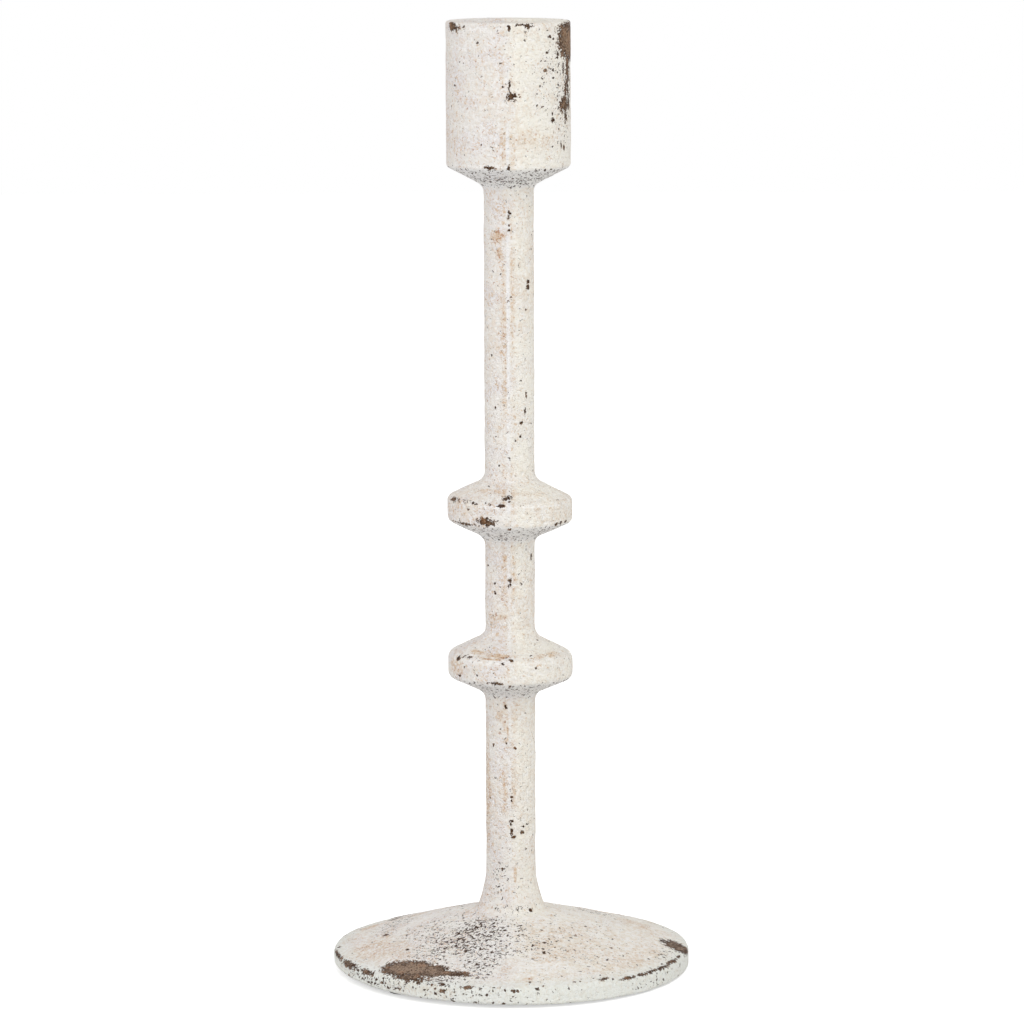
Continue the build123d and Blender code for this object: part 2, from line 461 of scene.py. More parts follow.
# so has the underside: the ring it stands on, the dish's wall and its ceiling
BASE_CHIPS += scattered(
    ALL_ROUND,
    [(-53, 1.5, 1.0), (-42, 1.0, 0.9), (-28, 10, 2.5)],
    count=30,
    half_widths=(1, 5),
    seed=18,
)
BASE_STAINS += scattered(
    ALL_ROUND,
    [(-18, 5, 6), (-34, 8, 8), (-50, 3, 3)],
    count=26,
    half_widths=(5, 14),
    seed=19,
    strength=(1.4,),
)


# ---------------------------------------------------------------- sizes and finishes


def length_property(name, description, millimetres):
    """A size that a user can change."""
    return FloatProperty(
        name=name, description=description, default=millimetres * MM, unit="LENGTH"
    )


def colour_property(name, description, *levels):
    """A colour that a user can change, from 0 to 255 display values."""
    return FloatVectorProperty(
        name=name, description=description, default=tint(*levels), size=4, subtype="COLOR"
    )


class CandlestickSizes(PropertyGroup):
    """Sizes of the castings and their fittings."""

    stem_radius: length_property("Stem radius", "Radius of the plain stem", 8)
    knop_radius: length_property("Knop radius", "Radius of both knops", 20)
    knop_band: length_property("Knop band", "Height of a knop's upright band", 7.6)
    knop_cone: length_property("Knop cone", "Height of a knop's cones", 6)
    lower_knop: length_property("Lower knop", "Height of the lower knop's middle", 99.7)
    knop_spacing: length_property("Knop spacing", "Distance between the knops", 50.8)
    cup_radius: length_property("Cup radius", "Radius of the candle cup", 19.8)
    cup_height: length_property("Cup height", "Height of the cup's upright wall", 46)
    cup_cone: length_property("Cup cone", "Height of the cone under the cup", 6.4)
    socket_radius: length_property("Socket radius", "Radius of the candle socket", 11.25)
    socket_depth: length_property("Socket depth", "Depth of the candle socket", 30)
    rim_height: length_property("Rim height", "Height of the base's upright rim", 5.1)
    lump_depth: length_property("Lump depth", "Depth of the casting's hollows", 0.3)
    ridge_height: length_property("Ridge height", "How far the parting line stands out", 0.28)
    thread_pitch: length_property("Thread pitch", "Pitch of the stud's thread", 1)
    column_segments: IntProperty(
        name="Column segments", description="Steps round the column", default=180, min=24, max=400
    )
    base_segments: IntProperty(
        name="Base segments", description="Steps round the base", default=470, min=24, max=800
    )


class CandlestickFinish(PropertyGroup):
    """Colours of the paint, the iron under it and the fittings."""

    # the right-hand colour is brighter and yellower: partly a second tone on that mould half and
    # partly painted light from the right
    paint: colour_property("Paint", "Off-white paint, on the left", 239, 235, 230)
    right_paint_and_light: colour_property("Right-hand paint", "Off-white paint, on the right", 246, 242, 232)
    cool_paint: colour_property("Cool paint", "Paint where it is thick", 237, 235, 238)
    warm_paint: colour_property("Warm paint", "Paint where it is thin", 232, 217, 200)
    white_paint: colour_property("White paint", "Paint where the coat is thickest", 250, 247, 244)
    # the seam colour is partly clean paint on the parting line's ridge and partly a painted
    # highlight there
    seam_paint_and_highlight: colour_property("Seam paint", "Clean paint along the parting line", 247, 246, 247)
    rim_paint: colour_property("Rim paint", "Greenish paint low on the rim", 230, 235, 229)
    # painted shade: a cool grey mixed in where the casting faces down, under the cones and on the
    # base's underside
    under_shade: colour_property("Under shade", "Grey film under the cones", 240, 240, 240)
    stain: colour_property("Stain", "Tan rust stain", 210, 179, 144)
    column_iron: colour_property("Column iron", "Bare, browned iron on the column", 139, 111, 84)
    base_iron: colour_property("Base iron", "Bare, greyer iron on the base", 154, 130, 110)
    # pale iron is partly worn metal and partly a painted highlight on the grain's tops; dark iron in
    # small chips is partly painted shadow of the paint's step
    pale_iron: colour_property("Pale iron", "Worn tops of the bare iron", 172, 152, 136)
    dark_iron: colour_property("Dark iron", "Iron in pits and small chips", 64, 40, 22)
    rust: colour_property("Rust", "Orange rust", 172, 116, 74)
    zinc: colour_property("Zinc", "Dull zinc plate", 168, 168, 164)
    felt: colour_property("Felt", "Dark pressed felt", 52, 48, 45)


class CandlestickStage(PropertyGroup):
    """The key light's power and the surround's brightness."""

    key_power: FloatProperty(
        name="Key light", description="Power of the large soft light", default=22.5, unit="POWER"
    )
    surround: FloatProperty(
        name="Surround", description="Brightness of the white surround", default=0.77, min=0, max=2
    )


# ---------------------------------------------------------------- node trees


def pick(sockets, key):
    """A socket by its place, name or identifier, among those in use."""
    shown = [socket for socket in sockets if socket.enabled]
    if isinstance(key, int):
        return shown[key]
    return next(socket for socket in shown if key in (socket.name, socket.identifier))


class Wire:
    """One output in a node tree. Arithmetic on it adds Math nodes to the tree."""

    def __init__(self, tree, socket=None):
        self.tree = tree
        self.socket = socket

    def node(self, kind, sockets=None, out=0, **settings):
        """Add a node: its settings first, then each socket's value or link."""
        node = self.tree.nodes.new(kind)
        for setting, value in settings.items():
            setattr(node, setting, value)
        for key, value in (sockets or {}).items():
            target = pick(node.inputs, key)
            if isinstance(value, Wire):
                self.tree.links.new(value.socket, target)
            else:
                target.default_value = value
        return Wire(self.tree, pick(node.outputs, out) if node.outputs else None)

    def other(self, key):
        """Another output of the same node."""
        return Wire(self.tree, pick(self.socket.node.outputs, key))

    def maths(self, operation, *values, clamp=False):
        """A Math node on these values and wires."""
        return self.node(
            "ShaderNodeMath", dict(enumerate(values)), operation=operation, use_clamp=clamp
        )

    def __add__(self, value):
        return self.maths("ADD", self, value)

    def __radd__(self, value):
        return self.maths("ADD", value, self)

    def __sub__(self, value):
        return self.maths("SUBTRACT", self, value)

    def __rsub__(self, value):
        return self.maths("SUBTRACT", value, self)

    def __mul__(self, value):
        return self.maths("MULTIPLY", self, value)

    def __rmul__(self, value):
        return self.maths("MULTIPLY", value, self)

    def __truediv__(self, value):
        return self.maths("DIVIDE", self, value)

    def __rtruediv__(self, value):
        return self.maths("DIVIDE", value, self)

    def least(self, value):
        """The smaller of the two."""
        return self.maths("MINIMUM", self, value)

    def most(self, value):
        """The larger of the two."""
        return self.maths("MAXIMUM", self, value)

    def above(self, edge, softness):
        """0 below the edge and 1 above it, over this softness."""
        return self.maths("ADD", (self - edge) * (1 / softness), 0.5, clamp=True)

    def mixed(self, low, high):
        """The first colour where this is 0, the second where it is 1."""
        return self.node(
            "ShaderNodeMix", {0: self, 1: low, 2: high}, data_type="RGBA", clamp_factor=True
        )

    def noise(self, size, detail=2.0, roughness=0.5, distortion=0.0):
        """Smooth noise, with features of this size in millimetres, on this vector."""
        return self.node(
            "ShaderNodeTexNoise",
            {
                "Vector": self,
                "Scale": 1000 / size,
                "Detail": detail,
                "Roughness": roughness,
                "Distortion": distortion,
            },
        )

    def channel(self, name):
        """One channel of this texture's colour, which is a texture of its own."""
        return self.node("ShaderNodeSeparateColor", {0: self.other("Color")}, out=name)

    def vector(self, operation, *values, out="Vector", amount=None):
        """A Vector Math node that starts from this vector."""
        sockets = dict(enumerate((self,) + values))
        if amount is not None:
            sockets["Scale"] = amount
        return self.node("ShaderNodeVectorMath", sockets, operation=operation, out=out)


# ---------------------------------------------------------------- geometry


def rounded(corners):
    """Points through (radius, height, rounding, step, skin) corners, in mm.

    Each corner with a rounding becomes an arc, and the run after a corner is divided into
    steps. Skin is 1 on the casting's own surface and 0 where it was drilled or turned.
    Returns the points, and the skin at each.
    """
    arc_step = 12  # degrees
    longest_reach = 0.49  # of the run on either side of an arc
    closest = 0.005  # mm between two points
    spots = [np.array(corner[:2], float) for corner in corners]
    runs = []
    for number, (spot, corner) in enumerate(zip(spots, corners)):
        rounding = corner[2]
        if not rounding or number in (0, len(corners) - 1):
            runs.append([spot])
            continue
        back = spots[number - 1] - spot
        on = spots[number + 1] - spot
        back_length, on_length = np.linalg.norm(back), np.linalg.norm(on)
        back, on = back / back_length, on / on_length
        turned = math.pi - math.acos(np.clip(back @ on, -1, 1))
        longest = longest_reach * min(back_length, on_length)
        reach = min(rounding * math.tan(turned / 2), longest)
        radius = reach / math.tan(turned / 2)
        middle = spot + (back + on) / np.linalg.norm(back + on) * radius / math.cos(turned / 2)
        start, end = spot + back * reach - middle, spot + on * reach - middle
        steps = max(2, math.ceil(math.degrees(turned) / arc_step))
        arc = []
        for step in range(steps + 1):
            share = step / steps
            spoke = math.sin((1 - share) * turned) * start + math.sin(share * turned) * end
            arc.append(middle + spoke / math.sin(turned))
        runs.append(arc)
    points, skins = [], []
    for number, run in enumerate(runs):
        step, skin = corners[number][3:5]
        before = skins[-1] if skins else skin
        points += run
        skins += [max(skin, before)] * (len(run) - 1) + [skin]
        if number + 1 < len(runs):
            here, there = run[-1], runs[number + 1][0]
            parts = math.ceil(np.linalg.norm(there - here) / step)
            for part in range(1, parts):
                points.append(here + (there - here) * part / parts)
                skins.append(skin)
    points = np.array(points)
    keep = np.r_[True, np.linalg.norm(np.diff(points, axis=0), axis=1) > closest]
    return points[keep], np.array(skins, float)[keep]


def new_tree(name, taken, inputs, made):
    """A geometry tree with named inputs: the tree, its first wire and its input node."""
    tree = bpy.data.node_groups.new(name, "GeometryNodeTree")
    interface = tree.interface
    interface.new_socket(taken, in_out="INPUT", socket_type="NodeSocketGeometry")
    for label, kind, default in inputs:
        socket = interface.new_socket(label, in_out="INPUT", socket_type="NodeSocket" + kind)
        if default is not None:
            socket.default_value = default
    interface.new_socket(made, in_out="OUTPUT", socket_type="NodeSocketGeometry")
    start = Wire(tree)
    return tree, start, start.node("NodeGroupInput")


def end_tree(start, given, shape, made):
    """End a tree with real geometry in its material."""
    shape = start.node("GeometryNodeRealizeInstances", {"Geometry": shape})
    shape = start.node(
        "GeometryNodeSetMaterial", {"Geometry": shape, "Material": given.other("Material")}
    )
    start.node("NodeGroupOutput", {made: shape})


def stored(start, name):
    """A number stored on the points."""
    return start.node(
        "GeometryNodeInputNamedAttribute", {"Name": name}, out="Attribute", data_type="FLOAT"
    )


def distance(across):
    """How far each point is from the axis, from its X wire."""
    return across.maths("SQRT", across * across + across.other("Y") * across.other("Y"))


def revolved(start, given):
    """The outline turned round the axis into a closed skin, with its stored numbers."""
    outline, segments = given.other("Outline"), given.other("Segments")
    rows = start.node(
        "GeometryNodeAttributeDomainSize", {"Geometry": outline}, out="Point Count", component="MESH"
    )
    grid = start.node(
        "GeometryNodeMeshGrid",
        {"Size X": 1.0, "Size Y": 1.0, "Vertices X": segments + 1, "Vertices Y": rows},
        out="Mesh",
    )
    index = start.node("GeometryNodeInputIndex")
    line = start.node("FunctionNodeIntegerMath", {0: index, 1: rows}, operation="DIVIDE_FLOOR")
    row = start.node("FunctionNodeIntegerMath", {0: index, 1: rows}, operation="MODULO")

    def of_outline(value, kind):
        """What the outline has at the point that this one comes from."""
        return start.node(
            "GeometryNodeSampleIndex",
            {"Geometry": outline, "Value": value, "Index": row},
            data_type=kind,
        )

    spot = of_outline(start.node("GeometryNodeInputPosition"), "FLOAT_VECTOR")
    radius = start.node("ShaderNodeSeparateXYZ", {0: spot}, out="X")
    # the steps round the axis crowd together at the front, where the surface shows most
    even = line * math.tau / segments
    angle = even - given.other("Crowding") * start.maths("COSINE", even)
    ring = start.node(
        "ShaderNodeCombineXYZ",
        {
            "X": radius * start.maths("COSINE", angle),
            "Y": radius * start.maths("SINE", angle),
            "Z": radius.other("Z"),
        },
    )
    shape = start.node("GeometryNodeSetPosition", {"Geometry": grid, "Position": ring})
    for name in ("skin", "along", "tilting", "sinking"):
        shape = start.node(
            "GeometryNodeStoreNamedAttribute",
            {"Geometry": shape, "Name": name, "Value": of_outline(stored(start, name), "FLOAT")},
            data_type="FLOAT",
            domain="POINT",
        )
    return start.node("GeometryNodeMergeByDistance", {"Geometry": shape, "Distance": 1e-6})


def out_of_true(start, given, shape, across):
    """Lean the knops and rims sideways and sink the back, as the mould was out of true."""
    back = (across.other("Y") - given.other("Lean") * across).most(0.0)
    lift = across * given.other("Tilt") * stored(start, "tilting")
    lift = lift - back * given.other("Sink") * stored(start, "sinking")
    offset = start.node("ShaderNodeCombineXYZ", {"Z": lift})
    return start.node("GeometryNodeSetPosition", {"Geometry": shape, "Offset": offset})


def sand_cast(start, given, shape, across, place):
    """Roughen the skin with lumps and grain, and raise the parting line's ridge."""

    def uneven(size, detail):
        """Noise from 0 to 1, with features of this size."""
        scale = 1 / given.other(size)
        noise = start.node(
            "ShaderNodeTexNoise",
            {"Vector": place, "W": given.other("Seed"), "Scale": scale, "Detail": detail},
            noise_dimensions="4D",
        )
        return noise.above(0.5, 0.5)

    lumps, grain = uneven("Lump Size", 2.0), uneven("Grain Size", 3.0)
    hollow = (lumps - 0.5) * given.other("Lump Depth") + (grain - 0.5) * given.other("Grain Depth")
    away = start.maths("ABSOLUTE", across - given.other("Ridge Place"))
    near = start.maths("SUBTRACT", 1.0, away / given.other("Ridge Width"), clamp=True)
    ridge = near * near * (3 - 2 * near) * given.other("Ridge Height") * (0.35 + 0.65 * lumps)
    raised = (ridge - hollow) * stored(start, "skin")
    out = start.node("GeometryNodeInputNormal").vector("SCALE", amount=raised)
    return start.node("GeometryNodeSetPosition", {"Geometry": shape, "Offset": out})


def kept_within(start, given, shape, across):
    """Keep every point inside the casting's own height and width."""
    shrink = (given.other("Widest") / distance(across).most(1e-6)).least(1.0)
    kept = start.node(
        "ShaderNodeCombineXYZ",
        {
            "X": across * shrink,
            "Y": across.other("Y") * shrink,
            "Z": across.other("Z").least(given.other("Highest")).most(given.other("Lowest")),
        },
    )
    return start.node("GeometryNodeSetPosition", {"Geometry": shape, "Position": kept})


def casting_tree():
    """Turns an outline into a closed casting, with a parting ridge and hollows."""
    tree, start, given = new_tree(
        "Turned casting",
        "Outline",
        (
            ("Segments", "Int", 180),
            ("Crowding", "Float", 0.35),
            ("Lump Depth", "Float", 0.3 * MM),
            ("Lump Size", "Float", 9 * MM),
            ("Grain Depth", "Float", 0.12 * MM),
            ("Grain Size", "Float", 2.2 * MM),
            ("Ridge Height", "Float", 0.28 * MM),
            ("Ridge Width", "Float", 0.85 * MM),
            ("Ridge Place", "Float", SEAM_PLACE),
            ("Tilt", "Float", 0.0),
            ("Sink", "Float", 0.0),
            ("Lean", "Float", 0.15),
            ("Lowest", "Float", 0.0),
            ("Highest", "Float", 1.0),
            ("Widest", "Float", 1.0),
            ("Seed", "Float", 0.0),
            ("Material", "Material", None),
        ),
        "Casting",
    )
    place = start.node("GeometryNodeInputPosition")
    across = start.node("ShaderNodeSeparateXYZ", {0: place}, out="X")
    shape = revolved(start, given)
    shape = out_of_true(start, given, shape, across)
    shape = sand_cast(start, given, shape, across, place)
    shape = kept_within(start, given, shape, across)
    shape = start.node("GeometryNodeSetShadeSmooth", {"Geometry": shape})
    end_tree(start, given, shape, "Casting")
    return tree


def grown(piece, tree, values):
    """Give the piece the tree's result as a plain mesh."""
    modifier = piece.modifiers.new(tree.name, "NODES")
    modifier.node_group = tree
    for item in tree.interface.items_tree:
        if item.in_out == "INPUT" and item.name in values:
            modifier[item.identifier] = values[item.name]
    depsgraph = bpy.context.evaluated_depsgraph_get()
    mesh = bpy.data.meshes.new_from_object(
        piece.evaluated_get(depsgraph), preserve_all_data_layers=True, depsgraph=depsgraph
    )
    piece.modifiers.clear()
    rough = piece.data
    piece.data = mesh
    mesh.name = piece.name
    bpy.data.meshes.remove(rough)
    return piece


def store(mesh, name, values):
    """Store one number for each of the mesh's points, under this name."""
    mesh.attributes.new(name, "FLOAT", "POINT").data.foreach_set(
        "value", np.ascontiguousarray(values, np.float32)
    )


def new_piece(name, mesh):
    """An object with this mesh, in the scene."""
    piece = bpy.data.objects.new(name, mesh)
    bpy.context.scene.collection.objects.link(piece)
    return piece


def outline_piece(name, points, skins, tilting, sinking):
    """A piece whose mesh is an outline in the XZ plane, and how far along it each point is."""
    mesh = bpy.data.meshes.new(name)
    spots = [(radius * MM, 0.0, height * MM) for radius, height in points]
    mesh.from_pydata(spots, [(number, number + 1) for number in range(len(spots) - 1)], [])
    along = np.r_[0, np.cumsum(np.linalg.norm(np.diff(points, axis=0), axis=1))]
    labels = (("skin", skins), ("along", along), ("tilting", tilting), ("sinking", sinking))
    for label, values in labels:
        store(mesh, label, values)
    return new_piece(name, mesh), along


class Surface:
    """A casting's points, as turns, radii and distances along its outline.

    place_along gives the distance along the outline that a mark's place lies at.
    """

    def __init__(self, mesh, place_along):
        self.mesh = mesh
        self.place_along = place_along
        count = len(mesh.vertices)
        spots = np.empty(count * 3, np.float32)
        mesh.vertices.foreach_get("co", spots)
        self.spots = spots.reshape(-1, 3) / MM
        self.turn = np.degrees(np.arctan2(self.spots[:, 0], -self.spots[:, 1]))
        self.radius = np.hypot(self.spots[:, 0], self.spots[:, 1])
        self.along = np.empty(count, np.float32)
        mesh.attributes["along"].data.foreach_get("value", self.along)

    def closeness(self, mark):
        """1 in the middle of a mark, 0 on its outline and below 0 outside."""
        turn, place, half_width, half_height = mark[:4]
        across = np.radians((self.turn - turn + 180) % 360 - 180) * self.radius
        up = self.along - self.place_along(place)
        return 1 - np.hypot(across / half_width, up / half_height)

    def wear(self, chips, flecks, stains, edges, shade_strength=1.0):
        """Store how chipped, flecked and stained each point is, how white its edges show as rubbed
        paint and painted highlight, and how much painted shade it takes where it faces down.
        """
        far_from_chips = -1.5
        chip = np.full(len(self.turn), far_from_chips)
        depth = np.zeros(len(self.turn))
        for mark in chips:
            near = self.closeness(mark)
            smaller = min(mark[2:4])
            # the larger a chip, the less the sand in the paint can break it up
            chip = np.maximum(chip, near * (0.6 + 0.36 * smaller))
            depth = np.maximum(depth, near * smaller)
        store(self.mesh, "chip", chip)
        store(self.mesh, "chip_depth", depth)
        for name, marks in (("fleck", flecks), ("stain", stains), ("clean", edges)):
            amount = np.zeros(len(self.turn))
            for mark in marks:
                near = np.clip(self.closeness(mark) * 1.6, 0, 1)
                amount = np.maximum(amount, near * near * (3 - 2 * near) * mark[4])
            store(self.mesh, name, amount)
        # painted shade: the more a point faces down, the more grey tint and dark flecks it takes
        normals = np.empty(len(self.turn) * 3, np.float32)
        self.mesh.vertex_normals.foreach_get("vector", normals)
        facing_down = -normals.reshape(-1, 3)[:, 2]
        store(self.mesh, "under_shade", np.clip((facing_down - 0.3) / 0.4, 0, 1) * shade_strength)

    def seam(self, runs):
        """Store how clearly the parting line shows at each point."""
        shown = np.zeros(len(self.turn))
        for height, half, strength in runs:
            near = np.clip(1.3 * (1 - np.abs(self.spots[:, 2] - height) / half), 0, 1)
            shown = np.maximum(shown, strength * near)
        store(self.mesh, "seam", shown)


# ---------------------------------------------------------------- materials


def material_tree(name):
    """A new material, its tree's first wire and its shader node."""
    material = bpy.data.materials.new(name)
    material.use_nodes = True
    tree = material.node_tree
    return material, Wire(tree), tree.nodes["Principled BSDF"]


def finish(start, shader, colour, roughness, height, fixed):
    """Connect a finish to its shader: height is in millimetres, fixed are plain numbers."""
    bump = start.node("ShaderNodeBump", {"Height": height, "Distance": MM, "Strength": 1.0})
    for name, wire in (("Base Color", colour), ("Roughness", roughness), ("Normal", bump)):
        start.tree.links.new(wire.socket, shader.inputs[name])
    for name, value in fixed.items():
        shader.inputs[name].default_value = value


class Skin:
    """The textures, the stored wear and the stored painted light and shade that a painted casting's
    finish is mixed from.
    """

    def __init__(self, start, fleck_size):
        self.start = start
        self.place = place = start.node("ShaderNodeTexCoord", out="Object")
        self.where = start.node("ShaderNodeSeparateXYZ", {0: place}, out="X")
        self.broad = place.noise(26, 2)
        self.patchy = place.noise(7, 3)
        self.cloudy = place.noise(2.6, 3)
        self.sand = place.noise(1.1, 3, 0.6)
        self.grit = place.noise(0.55, 2, 0.6)
        self.dashes = place.noise(fleck_size, 2, 0.5, 0.8)
        # places that wander with the sand, so that round marks come out ragged
        wander = self.sand.other("Color").vector("SUBTRACT", (0.5, 0.5, 0.5))
        self.loose = place.vector("ADD", wander.vector("SCALE", amount=2.0 * MM))
        self.chip = self.worn("chip")
        self.chip_depth = self.worn("chip_depth")
        self.fleck = self.worn("fleck")
        self.stain = self.worn("stain")
        self.clean = self.worn("clean")
        self.under_shade = self.worn("under_shade")
        self.seam = self.worn("seam")

    def worn(self, name):
        """A kind of wear, painted shade or painted highlight that is stored on the mesh."""
        return self.start.node(
            "ShaderNodeAttribute", out="Fac", attribute_name=name, attribute_type="GEOMETRY"
        )


def bare_spots(skin, dots):
    """1 where the iron is bare: in the mesh's chips, and in small ones that are balls of space."""
    nearest = None
    for x, y, z, half_width, half_height in dots:
        away = (
            skin.loose.vector("SUBTRACT", (x, y, z))
            .vector("MULTIPLY", (1 / half_width, 1 / half_width, 1 / half_height))
            .vector("LENGTH", out="Value")
        )
        nearest = away if nearest is None else nearest.least(away)
    ragged = (skin.sand - 0.5) * 2.8 + (skin.cloudy - 0.5) * 1.4 + (skin.grit - 0.5) * 1.5
    edge = skin.chip + ragged
    return edge.above(-0.08, 0.1).most((1.2 - nearest).above(0.0, 0.3))


def dark_flecks(skin, fleck_size):
    """1 in dark flecks and pinholes, which lie thicker beside chips, and thicker under the cones as
    painted shade.
    """
    thick = skin.fleck.most(skin.chip.above(-0.35, 0.9) * 0.8).most(skin.under_shade * 0.6)
    dark = skin.dashes.above(0.71 - 0.16 * thick, 0.02)
    dark = dark.most(skin.grit.above(0.76 - 0.14 * thick, 0.03))
    scale = 1000 / (2.0 * fleck_size)
    pores = skin.start.node(
        "ShaderNodeTexVoronoi", {"Vector": skin.loose, "Scale": scale}, feature="F1"
    )
    pinhole = (0.17 * pores.channel("Green") + 0.1 - pores).above(0.0, 0.05)
    share = 0.03 + 1.1 * thick + 0.2 * (skin.patchy - 0.4)
    return dark.most(pinhole * (share - pores.channel("Red")).above(0.0, 0.02))


def off_white_paint(skin, colours, coat):
    """Paint that is cool where it is thick and warm where it is thin, stained and rubbed, with
    painted light: brighter on the right, highlit along edges and the parting line, and shaded beside
    the ridge and under the cones.
    """
    where, patchy, cloudy, sand = skin.where, skin.patchy, skin.cloudy, skin.sand
    stain, clean, dashes = skin.stain, skin.clean, skin.dashes

    # the parting line shows white, as rubbed paint and a painted highlight along its ridge, with a
    # tan painted shadow beside it
    out = where.maths("ABSOLUTE", where - SEAM_PLACE) / MM
    line = (1.0 - out).above(0.5, 0.4) * skin.seam
    # painted shadow along both sides of the ridge
    beside = (1.0 - where.maths("ABSOLUTE", out - 1.5) / 1.1).above(0.5, 1.0)
    beside = beside * skin.seam.above(0.3, 0.4) * skin.broad.above(0.46, 0.15) * 0.75
    stain_and_seam_shadow = stain.most(beside)

    # the coat, brighter and yellower on the right half: partly a second tone on that mould half and
    # partly painted light from the right
    side = where.above(0.0, 5 * MM)
    colour = side.mixed(colours.paint, colours.right_paint_and_light)
    colour = (patchy.above(0.52, 0.16) * (0.8 - 0.55 * side)).mixed(colour, colours.cool_paint)
    thin = (cloudy - 0.5) * 0.7 + (sand - 0.5) * 1.6 + (skin.broad - 0.5) * 0.9 + 0.2 * stain
    colour = (thin.above(0.16, 0.4) * 0.6).mixed(colour, colours.warm_paint)
    # whiter along the marked edges: rubbed paint, and a painted highlight on the knops' shoulders
    # and the cup's edges
    thick = (0.5 - sand) * 1.6 + (0.5 - cloudy) * 0.8 + 0.35 * clean
    colour = (thick.above(coat, 0.3) * 0.75).mixed(colour, colours.white_paint)

    # tan veins, washes and specks, and orange rust, which also follow the painted shadow beside the
    # parting line
    vein = 0.03 - where.maths("ABSOLUTE", sand.channel("Green") - 0.5)
    vein = vein.above(0.0, 0.03) * (patchy + 0.25 * stain_and_seam_shadow - 0.2 * clean).above(0.54, 0.2)
    colour = (vein * (0.42 - 0.22 * side)).mixed(colour, colours.stain)
    colour = (stain_and_seam_shadow * cloudy.above(0.5, 0.3) * 0.35).mixed(colour, colours.stain)
    tanned = dashes.channel("Green") + 0.13 * stain_and_seam_shadow + 0.3 * (patchy - 0.5)
    tanned = tanned - 0.03 * side - 0.04 * clean
    colour = (tanned.above(0.64, 0.12) * 0.7).mixed(colour, colours.stain)
    rusted = (dashes.channel("Blue") + 0.11 * stain_and_seam_shadow - 0.04 * side).above(0.69, 0.05)
    colour = (rusted * 0.7).mixed(colour, colours.rust)
    colour = (skin.chip.above(-0.1, 0.5) * sand.above(0.5, 0.2) * 0.5).mixed(colour, colours.stain)

    # painted shade under the cones: a grey tint where the casting faces down; then the low part of
    # the rim; and over all the parting line, white as rubbed paint and painted highlight
    colour = (skin.under_shade * 0.6).mixed(colour, colours.under_shade)
    low = (7.5 * MM - where.other("Z")).above(0.0, 2 * MM)
    colour = (low * 0.55).mixed(colour, colours.rim_paint)
    return (line * 0.75).mixed(colour, colours.seam_paint_and_highlight)


def bare_iron(skin, colours, iron_colour):
    """Browned iron, dark in pits and small chips and pale on worn tops, with a little rust. The
    darkness in small chips and at a chip's edge is partly painted shadow of the paint's step, and
    the pale tops are partly painted highlight.
    """
    # darker in small chips and towards a chip's edge, partly painted shadow of the paint's step;
    # paler on the grain's tops, partly worn metal and partly painted highlight
    browned = (skin.chip_depth - 0.5) * 0.36 + (skin.sand - 0.5) * 3.4 + (skin.cloudy - 0.5) * 2.0
    browned = browned.above(0.35, 1.0)
    iron = browned.mixed(colours.dark_iron, iron_colour)
    iron = (skin.grit.above(0.57, 0.08) * browned * 0.6).mixed(iron, colours.pale_iron)
    iron = (1.0 - skin.grit.above(0.42, 0.06)).mixed(iron, colours.dark_iron)
    return (skin.cloudy.above(0.6, 0.1) * 0.2).mixed(iron, colours.rust)


def painted_iron(name, dots, colours, iron_colour, fleck_size, coat):
    """Chipped off-white paint on a sandy casting, with pits, flecks and rust stains.

    Dots are the small chips, as balls of space. Fleck size is in mm, and coat is how thick
    the paint has to be to show white.
    """
    material, start, shader = material_tree(name)
    skin = Skin(start, fleck_size)
    bare = bare_spots(skin, dots)
    dark = dark_flecks(skin, fleck_size)
    colour = off_white_paint(skin, colours, coat)
    colour = (dark * 0.97).mixed(colour, colours.dark_iron)
    colour = bare.mixed(colour, bare_iron(skin, colours, iron_colour))
    # the surface's relief, in mm
    relief = (skin.cloudy - 0.5) * 0.6 + (skin.sand - 0.5) * 0.8 + (skin.grit - 0.5) * 0.34
    relief = relief - bare * 0.14 - dark * 0.12
    roughness = 0.78 + (skin.sand - 0.5) * 0.4 - bare * 0.14
    finish(start, shader, colour, roughness, relief, {"Specular IOR Level": 0.2})
    return material


def dull_zinc(name, colours):
    """Dull zinc plate with a faint spangle and a white bloom."""
    material, start, shader = material_tree(name)
    dark_spangle, white_bloom = tint(140, 141, 140), tint(205, 205, 200)
    place = start.node("ShaderNodeTexCoord", out="Object")
    spangle = start.node(
        "ShaderNodeTexVoronoi", {"Vector": place, "Scale": 1000 / 1.2}, feature="F1"
    )
    shade = spangle.channel("Red")
    bloom = place.noise(1.6, 4, 0.6)
    scratches = place.noise(0.3, 2)
    bloomed = bloom.above(0.58, 0.2)
    colour = (shade * 0.35).mixed(colours.zinc, dark_spangle)
    colour = (bloomed * 0.5).mixed(colour, white_bloom)
    roughness = 0.36 + shade * 0.1 + bloomed * 0.3
    relief = (scratches - 0.5) * 0.01 + (bloom - 0.5) * 0.02
    finish(start, shader, colour, roughness, relief, {"Metallic": 1.0})
    return material


def pressed_felt(name, colours):
    """Matted dark fibres."""
    material, start, shader = material_tree(name)
    pale_fibre, dark_tuft = tint(92, 87, 82), tint(40, 37, 35)
    place = start.node("ShaderNodeTexCoord", out="Object")
    fibres = place.noise(0.35, 4, 0.7, 1.5)
    tufts = place.noise(1.6, 2)
    colour = fibres.above(0.5, 0.35).mixed(colours.felt, pale_fibre)
    colour = (tufts.above(0.6, 0.2) * 0.4).mixed(colour, dark_tuft)
    relief = (fibres - 0.5) * 0.25 + (tufts - 0.5) * 0.2
    roughness = 0.92 + (tufts - 0.5) * 0.1
    sheen = {"Sheen Weight": 0.5, "Sheen Roughness": 0.6, "Specular IOR Level": 0.2}
    finish(start, shader, colour, roughness, relief, sheen)
    return material


